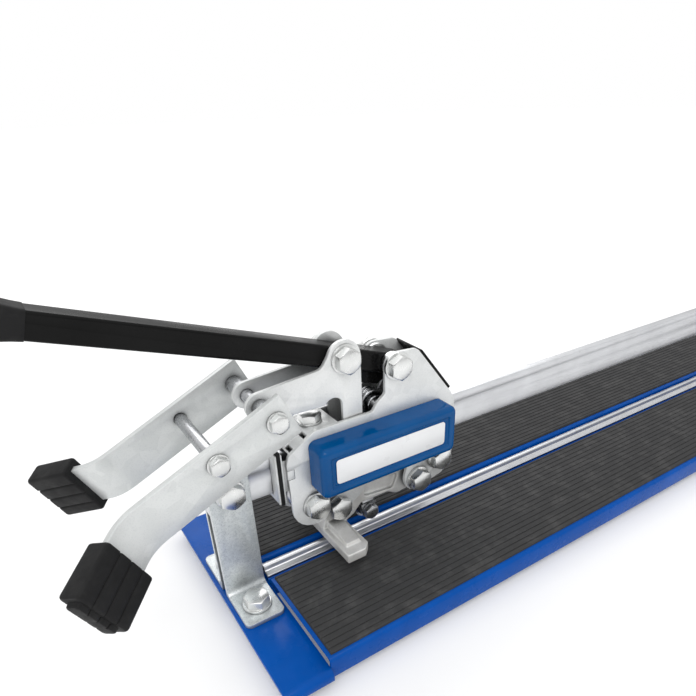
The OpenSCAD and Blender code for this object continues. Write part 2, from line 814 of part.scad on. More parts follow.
module breaker() {
    h = breaker_w / 2;
    color(cast) in_carriage() difference() {
        union() {
            across(-h, h) polygon(rounded([
                [-51, -33, 7], [-44, -22.5, 8], [-26, -24, 6], [-18, -18, 5], [30, -19, 5], [44, -19.5, 11],
                [54, -30, 10], [46, -44, 10], [24, -47, 8], [14, -41, 6], [-16, -41, 4], [-24, -50, 6],
                [-32, -54], [-34, -62.3], [-56, -62.3], [-57, -54]
            ]));
            box([wing_x[0], -wing_y, wing_z[0]], [wing_x[1], wing_y, wing_z[1]]);
            for (m = [0, 1]) mirror([0, m, 0]) translate([-52, 0, 0]) rotate([90, 0, 90]) linear_extrude(14)
                polygon([[0, -58], [wing_y - 9, -58], [wing_y - 11, -50.5], [h + 5, -46.5], [0, -46.5]]);
        }
        for (m = [0, 1]) mirror([0, m, 0]) {
            across(-h - 1, -h + 3.5)
                polygon(rounded([[-12, -36, 3], [-12, -23, 3], [26, -24, 3], [20, -39, 3]]));
            translate([wing_x[1], -wing_y, 0]) rotate(45) cube([9, 9, 200], center = true);
        }
        slot_hole();
        y_rod(breaker_pin, 6.08, -30, 30);
        box([wheel_pin[0] - 6.3, -6.3, -50], [wheel_pin[0] + 6.3, 6.3, -22]);
        difference() {
            box([-70, -60, -46], [-20, 60, -15]);
            across(-h, h) square([400, 400], center = true);
        }
    }
}

// Slot for the bolt at the foot of the link legs
module slot_hole() {
    slack = 0.5;
    y_rod(foot_pin - [slack, 0], 6.25, -30, 30);
    y_rod(foot_pin + [slack, 0], 6.25, -30, 30);
    box([foot_pin[0] - slack, -30, foot_pin[1] - 6.25], [foot_pin[0] + slack, 30, foot_pin[1] + 6.25]);
}

// Sprung holder: a stem in the breaker and a fork around the wheel
module wheel_holder() {
    w = wheel_pin;
    color(steel) in_carriage() {
        difference() {
            union() {
                box([w[0] - 6, -6, -50], [w[0] + 6, 6, -28]);
                across(-7.5, 7.5) polygon(rounded([
                    [w[0] - 8, -46.6], [w[0] + 8, -46.6],
                    [w[0] + 7.5, w[1] - 6.5, 6], [w[0] - 7.5, w[1] - 6.5, 6]
                ]));
            }
            box([w[0] - 13, -wheel_w / 2 - 0.3, w[1] - 20], [w[0] + 13, wheel_w / 2 + 0.3, w[1] + 11.6]);
            y_rod(w, 4.02, -30, 30);
        }
        facing_right(w, -7.5) bolt(m8, 4, 21);
        facing_left(w, 7.5) nut(m8, 4.02);
    }
}

module scoring_wheel() {
    color([0.45, 0.46, 0.48]) in_carriage() translate([wheel_pin[0], 0, wheel_pin[1]]) rotate([90, 0, 0])
        rotate_extrude($fn = 96) polygon([
            [4.07, -wheel_w / 2], [wheel_d / 2 - 2.5, -wheel_w / 2], [wheel_d / 2, 0],
            [wheel_d / 2 - 2.5, wheel_w / 2], [4.07, wheel_w / 2]
        ]);
}

crossbar_front();
crossbar_rear();
centre_beam();
breaking_ridge();
table_right();
table_left();
mat_right();
mat_left();
rubber_feet();
post_front_right();
post_front_left();
post_rear_right();
post_rear_left();
rail();
frame_bolts();
frame_nuts();
fence_bar();
fence_stop();
stop_knob();
side_plate_right();
side_plate_left();
cover_right();
cover_left();
cover_labels();
tie_plate_front();
rear_guard();
adjusting_bolt();
roller_saddles();
guide_pins();
upper_roller_front();
upper_roller_rear();
roller_bolts();
roller_nuts();
roller_spacers();
lower_roller_front();
lower_roller_rear();
side_roller_brackets();
side_roller_right_front();
side_roller_right_rear();
side_roller_left_front();
side_roller_left_rear();
wiper_plates();
wiper_blades();
return_spring();
handle_tube();
handle_grip();
handle_bolt();
link_plate_right();
link_plate_left();
link_bolt();
yoke_arm_right();
yoke_arm_left();
yoke_rods();
yoke_bolts();
yoke_foot_right();
yoke_foot_left();
breaker();
wheel_holder();
scoring_wheel();
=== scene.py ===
"""Looks of the tile cutter: bevelled and detailed pieces, procedural materials, soft studio light."""

import json
import math

import bmesh
import bpy
from mathutils import Euler, Matrix, Vector


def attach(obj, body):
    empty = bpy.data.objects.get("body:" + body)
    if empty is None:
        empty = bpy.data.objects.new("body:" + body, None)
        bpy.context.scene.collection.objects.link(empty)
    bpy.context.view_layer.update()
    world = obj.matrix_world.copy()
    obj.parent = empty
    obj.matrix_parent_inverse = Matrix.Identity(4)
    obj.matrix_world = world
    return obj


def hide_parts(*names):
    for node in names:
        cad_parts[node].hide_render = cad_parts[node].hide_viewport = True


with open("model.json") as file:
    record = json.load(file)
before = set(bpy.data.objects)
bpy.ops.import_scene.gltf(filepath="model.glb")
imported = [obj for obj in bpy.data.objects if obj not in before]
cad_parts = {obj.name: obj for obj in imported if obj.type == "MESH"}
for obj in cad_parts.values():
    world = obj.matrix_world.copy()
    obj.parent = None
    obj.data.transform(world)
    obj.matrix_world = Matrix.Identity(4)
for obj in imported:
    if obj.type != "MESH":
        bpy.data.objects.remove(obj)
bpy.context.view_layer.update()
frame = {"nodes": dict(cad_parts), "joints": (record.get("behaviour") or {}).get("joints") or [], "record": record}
NODES = frame["nodes"]
BODIES = {n: b for b, ns in frame["record"]["behaviour"]["bodies"].items() for n in ns}
SLOTS = {s["node"]: s["material_slot"] for s in frame["record"]["subparts"]}
PIVOT = {j["name"]: Vector(j["pos_m"]) for j in frame["joints"] if "pos_m" in j}
MM = 0.001

# The carriage's own origin: its middle, on the rail's lower edge
HANDLE_PIN = Vector((18, 0, 89)) * MM
CARRIAGE = PIVOT["handle_pivot"] - HANDLE_PIN


def car(x, y, z):
    """A point given in millimetres in the carriage's frame."""
    return CARRIAGE + Vector((x, y, z)) * MM


# ---------------------------------------------------------------- materials

PRIMER = (0.26, 0.27, 0.28)
SHADE = (0.012, 0.013, 0.015)
SPECK = (0.36, 0.38, 0.41)
RUB = (0.52, 0.53, 0.55)
DUST = (0.22, 0.215, 0.21)
SAND = {"dark": (0.60, 0.59, 0.57), "light": (0.86, 0.86, 0.84), "pore": (0.33, 0.32, 0.30)}


class Graph:
    """A small builder for a material's nodes."""

    def __init__(self, name):
        self.mat = bpy.data.materials.new(name)
        self.mat.use_nodes = True
        self.tree = self.mat.node_tree
        self.tree.nodes.clear()
        self.out = self.tree.nodes.new("ShaderNodeOutputMaterial")
        self.bsdf = self.tree.nodes.new("ShaderNodeBsdfPrincipled")
        self.tree.links.new(self.bsdf.outputs[0], self.out.inputs["Surface"])
        self.coord = None

    def link(self, a, b):
        self.tree.links.new(a, b)

    def position(self, scale=(1, 1, 1)):
        """Object coordinates, stretched."""
        if self.coord is None:
            self.coord = self.tree.nodes.new("ShaderNodeTexCoord")
        mapping = self.tree.nodes.new("ShaderNodeMapping")
        mapping.inputs["Scale"].default_value = scale
        self.link(self.coord.outputs["Object"], mapping.inputs["Vector"])
        return mapping.outputs["Vector"]

    def noise(self, scale, detail=4.0, rough=0.55, stretch=(1, 1, 1)):
        n = self.tree.nodes.new("ShaderNodeTexNoise")
        n.inputs["Scale"].default_value = scale
        n.inputs["Detail"].default_value = detail
        n.inputs["Roughness"].default_value = rough
        self.link(self.position(stretch), n.inputs["Vector"])
        return n.outputs["Fac"]

    def cells(self, scale):
        """A random grey for each crystal cell."""
        n = self.tree.nodes.new("ShaderNodeTexVoronoi")
        n.inputs["Scale"].default_value = scale
        self.link(self.position(), n.inputs["Vector"])
        split = self.tree.nodes.new("ShaderNodeSeparateColor")
        self.link(n.outputs["Color"], split.inputs[0])
        return split.outputs[0]

    def ramp(self, value, low, high, out_low=0.0, out_high=1.0):
        n = self.tree.nodes.new("ShaderNodeMapRange")
        n.inputs["From Min"].default_value = low
        n.inputs["From Max"].default_value = high
        n.inputs["To Min"].default_value = out_low
        n.inputs["To Max"].default_value = out_high
        self.link(value, n.inputs["Value"])
        return n.outputs["Result"]

    def mix(self, fac, a, b):
        """Blend two colours, each a socket or a tuple."""
        n = self.tree.nodes.new("ShaderNodeMix")
        n.data_type = "RGBA"
        self.link(fac, n.inputs["Factor"])
        for value, socket in ((a, n.inputs["A"]), (b, n.inputs["B"])):
            if hasattr(value, "is_output"):
                self.link(value, socket)
            else:
                socket.default_value = (*value, 1.0)
        return n.outputs["Result"]

    def math(self, op, a, b=0.0):
        n = self.tree.nodes.new("ShaderNodeMath")
        n.operation = op
        n.use_clamp = True
        for value, socket in ((a, n.inputs[0]), (b, n.inputs[1])):
            if hasattr(value, "is_output"):
                self.link(value, socket)
            else:
                socket.default_value = value
        return n.outputs[0]

    def paint_corner_shade(self, color, distance, depth):
        """Darken a colour in corners and behind gaps: painted shade, from an ambient occlusion node."""
        ao = self.tree.nodes.new("ShaderNodeAmbientOcclusion")
        ao.samples = 8
        ao.inputs["Distance"].default_value = distance
        shade = self.ramp(ao.outputs["AO"], 0.12, 0.72, depth, 0.0)
        return self.mix(shade, color, SHADE)

    def attribute(self, name):
        n = self.tree.nodes.new("ShaderNodeAttribute")
        n.attribute_name = name
        return n.outputs["Fac"]

    def bump(self, height, strength, distance=0.0005, under=None):
        n = self.tree.nodes.new("ShaderNodeBump")
        n.inputs["Strength"].default_value = strength
        n.inputs["Distance"].default_value = distance
        self.link(height, n.inputs["Height"])
        if under is not None:
            self.link(under, n.inputs["Normal"])
        self.link(n.outputs["Normal"], self.bsdf.inputs["Normal"])
        return n.outputs["Normal"]

    def set(self, **values):
        names = {
            "color": "Base Color",
            "rough": "Roughness",
            "metal": "Metallic",
            "coat": "Coat Weight",
            "coat_rough": "Coat Roughness",
            "specular": "Specular IOR Level",
        }
        for key, value in values.items():
            socket = self.bsdf.inputs[names[key]]
            if hasattr(value, "is_output"):
                self.link(value, socket)
            elif key == "color":
                socket.default_value = (*value, 1.0)
            else:
                socket.default_value = value
        return self.mat


def painted(name, color, dark, rough, coat, specular):
    """Powder coat: slight orange peel, dusty mottling, thin wear on the edges."""
    g = Graph(name)
    base = g.mix(g.ramp(g.noise(28, 5), 0.35, 0.7), dark, color)
    wear = g.math("MULTIPLY", g.attribute("edge"), g.ramp(g.noise(90, 6, 0.7), 0.60, 0.68, 0, 0.7))
    base = g.mix(wear, base, PRIMER)
    under = g.bump(g.noise(300, 2), 0.05, 0.0004)
    g.bump(g.noise(1100, 2), 0.08, 0.0002, under)
    return g.set(
        color=base,
        rough=g.ramp(g.noise(45, 4), 0.3, 0.7, rough - 0.05, rough + 0.09),
        coat=coat,
        coat_rough=0.08,
        specular=specular,
    )


def zinc(name, light, shade, rough, spangle, contrast, metal):
    """Zinc-plated sheet: crystal patches, clouds, fine speckle and a few rubs."""
    g = Graph(name)
    crystal = g.math("MULTIPLY", g.cells(spangle), 0.45)
    cloud = g.ramp(g.noise(22, 6, 0.6), 0.3, 0.75, 0, 0.55)
    patch = g.math("ADD", crystal, cloud)
    base = g.mix(patch, shade, light)
    speck = g.ramp(g.noise(900, 3, 0.65), 0.52, 0.66, 0, contrast)
    base = g.mix(speck, base, SPECK)
    rub = g.ramp(g.noise(60, 8, 0.75, (0.25, 1, 1)), 0.66, 0.72, 0, 0.25)
    base = g.mix(rub, base, RUB)
    # Painted shade in corners and behind gaps
    base = g.paint_corner_shade(base, 0.03, 0.9)
    under = g.bump(g.noise(30, 3), 0.12, 0.001)
    g.bump(g.noise(700, 3), 0.10, 0.0002, under)
    return g.set(color=base, rough=g.ramp(patch, 0, 1, rough + 0.08, rough - 0.06), metal=metal)


def bright(name, color, rough, stretch=(1, 1, 1), scale=160, dark=0.8, metal=1.0):
    """Plated or ground steel with faint scratches."""
    g = Graph(name)
    grain = g.noise(scale, 5, 0.6, stretch)
    base = g.mix(g.ramp(g.noise(35, 4), 0.3, 0.7), tuple(c * dark for c in color), color)
    stain = g.ramp(g.noise(140, 6, 0.7), 0.62, 0.74, 0, 0.3)
    base = g.mix(stain, base, tuple(c * 0.55 for c in color))
    # Painted shade in corners and behind gaps
    base = g.paint_corner_shade(base, 0.014, 0.65)
    g.bump(grain, 0.08, 0.0002)
    return g.set(color=base, rough=g.ramp(grain, 0.3, 0.7, rough - 0.05, rough + 0.1), metal=metal)


def casting(name):
    """Cast metal: sandy skin, warm clouds, polished where it rubs."""
    g = Graph(name)
    fine = g.noise(420, 5, 0.6)
    wide = g.noise(40, 5)
    base = g.mix(g.ramp(wide, 0.3, 0.7), SAND["dark"], SAND["light"])
    base = g.mix(g.ramp(g.noise(900, 3), 0.6, 0.75, 0, 0.5), base, SAND["pore"])
    # Painted shade in corners and behind gaps
    base = g.paint_corner_shade(base, 0.025, 0.9)
    under = g.bump(wide, 0.25, 0.002)
    g.bump(fine, 0.35, 0.0006, under)
    return g.set(color=base, rough=g.ramp(fine, 0.3, 0.7, 0.36, 0.58), metal=0.45)


def rubber(name, color, rough, dust):
    """Moulded rubber: fine grain and a little dust in its pores."""
    g = Graph(name)
    base = g.mix(g.ramp(g.noise(60, 6, 0.65), 0.5, 0.8, 0, dust), color, DUST)
    under = g.bump(g.noise(260, 3), 0.12, 0.0005)
    g.bump(g.noise(1400, 2), 0.22, 0.0003, under)
    matt = g.ramp(g.noise(90, 4), 0.3, 0.7, rough - 0.08, rough + 0.12)
    return g.set(color=base, rough=matt, specular=0.16)


def plastic(name, color, rough, coat=0.0, tint=0.9):
    """Moulded plastic or film, with a trace of mottling."""
    g = Graph(name)
    base = g.mix(g.ramp(g.noise(30, 4), 0.35, 0.65), tuple(c * tint for c in color), color)
    g.bump(g.noise(1100, 2), 0.06, 0.0002)
    return g.set(color=base, rough=g.ramp(g.noise(70, 3), 0.3, 0.7, rough - 0.04, rough + 0.06), coat=coat)


# One for each material slot, and below them four that stand in for a slot on some pieces
MATERIALS = {
    "blue_paint": painted("blue_paint", (0.0, 0.082, 0.40), (0.0, 0.070, 0.345), 0.24, 0.04, 0.09),
    "black_paint": painted("black_paint", (0.006, 0.006, 0.006), (0.004, 0.004, 0.004), 0.28, 0.03, 0.10),
    "zinc_sheet": zinc("zinc_sheet", (0.83, 0.84, 0.835), (0.70, 0.715, 0.71), 0.36, 110, 0.13, 0.3),
    "zinc_hardware": bright("zinc_hardware", (0.84, 0.85, 0.84), 0.27),
    "rail_steel": bright("rail_steel", (0.72, 0.73, 0.75), 0.34, (0.03, 1, 1), 900, 0.88),
    "bare_steel": bright("bare_steel", (0.60, 0.61, 0.63), 0.26, (1, 1, 1), 300, 0.75),
    "tool_steel": bright("tool_steel", (0.36, 0.37, 0.39), 0.20, (1, 1, 1), 300, 0.8),
    "cast_aluminium": casting("cast_aluminium"),
    "black_plastic": plastic("black_plastic", (0.02, 0.02, 0.021), 0.45),
    "rubber": rubber("rubber", (0.012, 0.012, 0.0125), 0.55, 0.05),
    "label": plastic("label", (0.86, 0.87, 0.88), 0.30, 0.4, 0.96),
}
# Painted shade: a darker copy of the blue paint for the covers, with a stronger coat for their real gloss
SHADED_COVER_BLUE = painted("shaded_cover_blue", (0.0, 0.080, 0.265), (0.0, 0.064, 0.218), 0.12, 0.34, 0.03)
# Painted shade: a darker copy of the zinc sheet for the yoke's arms
SHADED_ARM_ZINC = zinc("shaded_arm_zinc", (0.745, 0.76, 0.755), (0.63, 0.65, 0.645), 0.36, 110, 0.16, 0.3)
SPANGLED = zinc("zinc_spangled", (0.76, 0.79, 0.79), (0.52, 0.56, 0.57), 0.38, 480, 0.62, 0.6)
MAT_RUBBER = rubber("mat_rubber", (0.045, 0.045, 0.046), 0.66, 0.22)


# ---------------------------------------------------------------- building


def adopt(obj, body, slot, *replaced, material=None):
    """Give a piece its body and its material: the one for its slot, unless another is given."""
    obj.data.materials.clear()
    obj.data.materials.append(material or MATERIALS[slot])
    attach(obj, body)
    if replaced:
        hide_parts(*replaced)
    return obj


def add_object(name, bm):
    """A new object from a bmesh, which is freed."""
    mesh = bpy.data.meshes.new(name)
    bmesh.ops.recalc_face_normals(bm, faces=bm.faces)
    bm.to_mesh(mesh)
    bm.free()
    obj = bpy.data.objects.new(name, mesh)
    bpy.context.scene.collection.objects.link(obj)
    return obj


def bake_modifiers(obj):
    """Turn an object's modifiers into its mesh."""
    bpy.context.view_layer.update()
    evaluated = obj.evaluated_get(bpy.context.evaluated_depsgraph_get())
    mesh = bpy.data.meshes.new_from_object(evaluated)
    obj.modifiers.clear()
    old = obj.data
    obj.data = mesh
    bpy.data.meshes.remove(old)
    return obj


def smooth_shade(obj, angle=35):
    obj.data.shade_smooth()
    obj.data.set_sharp_from_angle(angle=math.radians(angle))
    return obj


def bevel_edges(obj, width, segments=2, angle=34):
    """Round the sharp edges, and mark the new faces in the attribute that wear follows."""
    mesh = obj.data
    mesh.materials.clear()
    for slot in ("cad_face", "cad_edge"):
        mesh.materials.append(bpy.data.materials.get(slot) or bpy.data.materials.new(slot))
    mesh.polygons.foreach_set("material_index", [0] * len(mesh.polygons))
    mod = obj.modifiers.new("bevel", "BEVEL")
    mod.width = width * MM
    mod.segments = segments
    mod.limit_method = "ANGLE"
    mod.angle_limit = math.radians(angle)
    mod.material = 1
    bake_modifiers(obj)
    mesh = obj.data
    edge = mesh.attributes.new("edge", "FLOAT", "FACE")
    edge.data.foreach_set("value", [float(p.material_index) for p in mesh.polygons])
    mesh.polygons.foreach_set("material_index", [0] * len(mesh.polygons))
    return obj


def clean_copy(node):
    """A copy of a CAD node's mesh with its seams merged and its flat faces joined."""
    bm = bmesh.new()
    bm.from_mesh(NODES[node].data)
    bmesh.ops.remove_doubles(bm, verts=bm.verts, dist=2e-6)
    bmesh.ops.dissolve_limit(bm, angle_limit=math.radians(0.6), verts=bm.verts, edges=bm.edges)
    return add_object(node + "_skin", bm)


def refine(node, bevel, material=None):
    """A copy of a CAD node with fine round edges, which stands for it."""
    obj = smooth_shade(bevel_edges(clean_copy(node), bevel))
    return adopt(obj, BODIES[node], SLOTS[node], node, material=material)


def corners(node):
    """Lowest and highest corner of a CAD node."""
    points = [v.co for v in NODES[node].data.vertices]
    return (
        Vector([min(p[i] for p in points) for i in range(3)]),
        Vector([max(p[i] for p in points) for i in range(3)]),
    )


def loft(name, rings):
    """A closed solid through rings of points, with flat ends."""
    bm = bmesh.new()
    rows = [[bm.verts.new(p) for p in ring] for ring in rings]
    count = len(rings[0])
    for a, b in zip(rows, rows[1:]):
        for i in range(count):
            j = (i + 1) % count
            bm.faces.new((a[i], a[j], b[j], b[i]))
    bm.faces.new(rows[0][::-1])
    bm.faces.new(rows[-1])
    return smooth_shade(add_object(name, bm))


def round_rect(width, height, radius, steps=6):
    """Points of a rectangle with round corners, anticlockwise."""
    points = []
    for k, (sx, sy) in enumerate(((1, 1), (-1, 1), (-1, -1), (1, -1))):
        for i in range(steps + 1):
            a = math.radians(90 * (k + i / steps))
            points.append(
                (
                    sx * (width / 2 - radius) + radius * math.cos(a),
                    sy * (height / 2 - radius) + radius * math.sin(a),
                )
            )
    return points


def wire(points, radius, sides=12):
    """Rings of a round wire along a path."""
    rings, side = [], None
    for i, p in enumerate(points):
        ahead = (points[min(i + 1, len(points) - 1)] - points[max(i - 1, 0)]).normalized()
        side = ahead.orthogonal() if side is None else side - ahead * side.dot(ahead)
        side.normalize()
        up = ahead.cross(side)
        turn = [2 * math.pi * k / sides for k in range(sides)]
        rings.append([p + radius * (math.cos(a) * side + math.sin(a) * up) for a in turn])
    return rings


def turned(centre, profile, sides=48):
    """Rings of a turned part on an axis along Y, from pairs of place and radius."""
    angles = [2 * math.pi * k / sides for k in range(sides)]
    return [
        [centre + Vector((r * math.cos(a), y, r * math.sin(a))) * MM for a in angles] for y, r in profile
    ]


def mirrored(rings, side):
    """Rings flipped to the left side of the rail for side +1."""
    return [[Vector((p.x, -side * p.y, p.z)) for p in ring] for ring in rings]


# ---------------------------------------------------------------- covers

PLATE_OUT = 18.0
COVER = {"length": 136.6, "height": 45.5, "depth": 22.5, "corner": 6.0}


def cover_rings():
    """Rings of the right cover: inside, rim, round shoulder, face and recessed panel."""
    wall, shoulder, panel = 2.2, 5.0, 1.8
    depth = COVER["depth"]
    floor = depth - panel
    inside = floor - wall
    path = [(wall + 2.4, inside), (wall + 0.8, inside - 0.3), (wall, inside - 1.2), (wall, 0.5)]
    path += [(wall - 0.3, 0.0), (0.3, 0.0), (0.0, 0.4)]
    steps = 8
    for i in range(steps + 1):
        a = math.radians(90 * i / steps)
        path.append((shoulder * (1 - math.cos(a)), depth - shoulder + shoulder * math.sin(a)))
    path += [(7.4, depth), (8.0, depth - 0.15), (8.4, depth - 0.5), (8.7, floor + 0.4), (9.1, floor + 0.1)]
    path += [(9.6, floor), (10.6, floor), (11.0, floor + 0.25), (11.6, floor + 0.45), (12.2, floor + 0.25)]
    path += [(12.5, floor)]
    rings = []
    for inset, out in path:
        radius = max(COVER["corner"] - 0.6 * inset, 1.6)
        outline = round_rect(COVER["length"] - 2 * inset, COVER["height"] - 2 * inset, radius)
        rings.append([car(u, -PLATE_OUT - out, COVER["height"] / 2 + v) for u, v in outline])
    return rings


def covers():
    for side, name in ((-1, "cover_right"), (1, "cover_left")):
        shell = loft(name + "_shell", mirrored(cover_rings(), side))
        adopt(shell, "carriage", "blue_paint", name, material=SHADED_COVER_BLUE)


# ---------------------------------------------------------------- spring


SPRING = {"centre": (3, 54), "coil": 10.6, "wire": 1.4, "half_width": 6.6, "turns": 3.5, "legs": (19, 20)}


def return_spring():
    """Coil with its two legs, on a flanged spool and a pin."""
    centre, coil, turns = SPRING["centre"], SPRING["coil"], SPRING["turns"]
    half_width, steps = SPRING["half_width"], 24
    count = int(turns * steps)
    legs = (Vector((-0.375, 0, 0.927)), Vector((0.5, 0, 0.866)))
    path = [car(centre[0] - coil, -half_width, centre[1]) + legs[0] * SPRING["legs"][0] * MM]
    for i in range(count + 1):
        a = math.pi + 2 * math.pi * i / steps
        y = -half_width + 2 * half_width * i / count
        path.append(car(centre[0] + coil * math.cos(a), y, centre[1] + coil * math.sin(a)))
    path.append(path[-1] + legs[1] * SPRING["legs"][1] * MM)
    coil_piece = loft("spring_coil", wire(path, SPRING["wire"] * MM))
    adopt(coil_piece, "carriage", "bare_steel", "return_spring")
    axis = car(centre[0], 0, centre[1])
    spool = [(-9.5, 7.5), (-9.1, 8.0), (-8.4, 8.0), (-8.2, 7.2)]
    spool += [(8.2, 7.2), (8.4, 8.0), (9.1, 8.0), (9.5, 7.5)]
    adopt(loft("spring_spool", turned(axis, spool)), "carriage", "bare_steel")
    pin = [(-14.5, 3.6), (-14.0, 4.0), (14.0, 4.0), (14.5, 3.6)]
    adopt(loft("spring_pin", turned(axis, pin)), "carriage", "zinc_hardware")


# ---------------------------------------------------------------- handle

LINK_ARM = PIVOT["link_pivot"] - PIVOT["handle_pivot"]
RISE = math.atan2(LINK_ARM.z, -LINK_ARM.x)
TUBE_DROP = 1.6


def on_handle(x, y, z):
    """A point in the handle's frame: x along the tube to the grip, z across it."""
    along = Vector((-math.cos(RISE), 0, math.sin(RISE)))
    across = Vector((math.sin(RISE), 0, math.cos(RISE)))
    return CARRIAGE + HANDLE_PIN + (x * along - y * Vector((0, 1, 0)) + z * across) * MM


GRIP = {"start": 262.0, "end": 420.0, "ribs": 11, "pitch": 10.5}


def handle_grip():
    """Moulded grip: a tapered collar, rounded ribs and a flanged end."""
    start, end = GRIP["start"], GRIP["end"]
    # Each ring is its place along the handle, its width, its height and its corner radius
    rings = [(start, 20.6, 18.6, 2.8), (start + 0.4, 21.2, 19.0, 3.0), (start + 6, 21.8, 19.8, 3.4)]
    rings += [(start + 13, 23.2, 21.8, 4.6), (start + 18, 25.0, 24.6, 6.4)]
    for k in range(GRIP["ribs"]):
        x = start + 22 + k * GRIP["pitch"]
        rings += [(x, 25.4, 25.4, 8.0), (x + 1.2, 24.2, 24.2, 8.0), (x + 2.6, 23.6, 23.6, 8.0)]
        rings += [(x + 4.0, 24.2, 24.2, 8.0), (x + 5.2, 25.4, 25.4, 8.0)]
    rings += [(end - 15, 25.0, 25.0, 8.0), (end - 11, 26.0, 26.0, 8.0), (end - 3, 26.0, 26.0, 8.0)]
    rings += [(end - 0.9, 24.8, 24.8, 8.0), (end, 21.0, 21.0, 7.5)]
    body = [
        [on_handle(x, u, v - TUBE_DROP) for u, v in round_rect(width, height, radius)]
        for x, width, height, radius in rings
    ]
    adopt(loft("grip_body", body), "handle", "rubber", "handle_grip")


# ---------------------------------------------------------------- yoke feet

# The bar's end pin, inner face, thickness, angles, bend radius, straight run and free length after the bend
ARM = {"end": (-90.4, 88.4), "inside": 37.5, "thick": 5.0, "slope": 24.6, "splay": 42.7}
ARM |= {"bend": 30.0, "run": 131.0, "free": 19.0}
FOOT = {"length": 37.8, "thick": 17.6, "width": 45.0}


def foot_matrix():
    """Frame of the right foot: +X along the bar, +Y across its thickness, +Z across its width."""
    slope = math.radians(ARM["slope"])
    cut = ARM["bend"] * math.tan(math.radians(ARM["splay"]) / 2)
    columns = ((-math.cos(slope), 0, -math.sin(slope)), (0, -1, 0), (-math.sin(slope), 0, math.cos(slope)))
    turn = Matrix(columns).transposed().to_4x4()
    place = Matrix.Translation(car(ARM["end"][0], -ARM["inside"], ARM["end"][1]))
    bend = Matrix.Translation(Vector((ARM["run"] - cut, ARM["bend"] + ARM["thick"] / 2, 0)) * MM)
    out = Matrix.Rotation(math.radians(ARM["splay"]), 4, "Z")
    start = Matrix.Translation(Vector((ARM["free"] - cut, -ARM["bend"], 0)) * MM)
    return place @ turn @ bend @ out @ start


def foot_outline(inset_y, inset_z):
    """Outline of a foot across the bar, with three grooves in each broad face."""
    half_y = FOOT["thick"] / 2 - inset_y
    half_z = FOOT["width"] / 2 - inset_z
    radius, steps = 2.4, 4
    groove = ((1.5, 0.0), (0.9, 0.25), (0.4, 0.9), (0.0, 1.2), (-0.4, 0.9), (-0.9, 0.25), (-1.5, 0.0))
    squeeze = half_z / (FOOT["width"] / 2)
    face = [(half_y - deep, (z + dz) * squeeze) for z in (10, -1, -12) for dz, deep in groove]
    points = []
    for k, (sy, sz) in enumerate(((1, -1), (-1, -1), (-1, 1), (1, 1))):
        if k == 0:
            points += face
        if k == 2:
            points += [(-y, z) for y, z in reversed(face)]
        for i in range(steps + 1):
            a = math.radians(-90 * (k + i / steps))
            y = sy * (half_y - radius) + radius * math.cos(a)
            points.append((y, sz * (half_z - radius) + radius * math.sin(a)))
    return points


def yoke_feet():
    end = FOOT["length"]
    # Each ring is its place along the bar, and how far it is drawn in across the thickness and the width
    path = [(0.0, 1.8, 1.8), (0.2, 0.9, 0.9), (0.9, 0.25, 0.25), (2.0, 0.0, 0.0), (end - 2.4, 0.0, 0.0)]
    path += [(end - 1.0, 0.3, 0.3), (end - 0.2, 1.0, 1.0), (end, 2.2, 2.6), (end + 0.1, 3.0, 4.6)]
    path += [(end + 0.8, 3.3, 5.0), (end + 2.5, 3.4, 5.2), (end + 3.2, 3.8, 5.8), (end + 3.5, 4.8, 7.2)]
    matrix = foot_matrix()
    rings = [
        [matrix @ (Vector((x, y, z)) * MM) for y, z in foot_outline(inset_y, inset_z)]
        for x, inset_y, inset_z in path
    ]
    for side, name in ((-1, "yoke_foot_right"), (1, "yoke_foot_left")):
        adopt(loft(name + "_boot", mirrored(rings, side)), "yoke", "rubber", name)


# ---------------------------------------------------------------- casting and mats


HOLE = {"x": (-12.3, 0.3), "half_width": 6.3, "foot": -50.0, "top": -22.0}
UNDERSIDE = -41.0
MELT = {"voxel": 0.75, "factor": 0.5, "rounds": 5}


def breaker_casting():
    """The casting's CAD shape, melted a little so that its edges and corners are round."""
    obj = clean_copy("breaker")
    # The walls beside the holder's hole are thinner than a voxel, so it is filled now and cut again after
    bm = bmesh.new()
    bm.from_mesh(obj.data)
    spare, side = 0.3, HOLE["half_width"] + 0.15
    low = car(HOLE["x"][0] - spare, -side, UNDERSIDE + 0.1)
    high = car(HOLE["x"][1] + spare, side, HOLE["top"] + spare)
    for v in bmesh.ops.create_cube(bm, size=1)["verts"]:
        v.co = Vector([(high if v.co[i] > 0 else low)[i] for i in range(3)])
    bm.to_mesh(obj.data)
    bm.free()
    remesh = obj.modifiers.new("remesh", "REMESH")
    remesh.mode = "VOXEL"
    remesh.voxel_size = MELT["voxel"] * MM
    soften = obj.modifiers.new("soften", "SMOOTH")
    soften.factor = MELT["factor"]
    soften.iterations = MELT["rounds"]
    bake_modifiers(obj)
    (left, right), side = HOLE["x"], HOLE["half_width"]
    outline = ((right, -side), (right, side), (left, side), (left, -side))
    cutter = loft("holder_hole", [[car(x, y, HOLE[z]) for x, y in outline] for z in ("foot", "top")])
    cut = obj.modifiers.new("cut", "BOOLEAN")
    cut.operation = "DIFFERENCE"
    cut.solver = "EXACT"
    cut.object = cutter
    bake_modifiers(obj)
    bpy.data.objects.remove(cutter)
    smooth_shade(obj, 60)
    adopt(obj, "breaker", "cast_aluminium", "breaker")


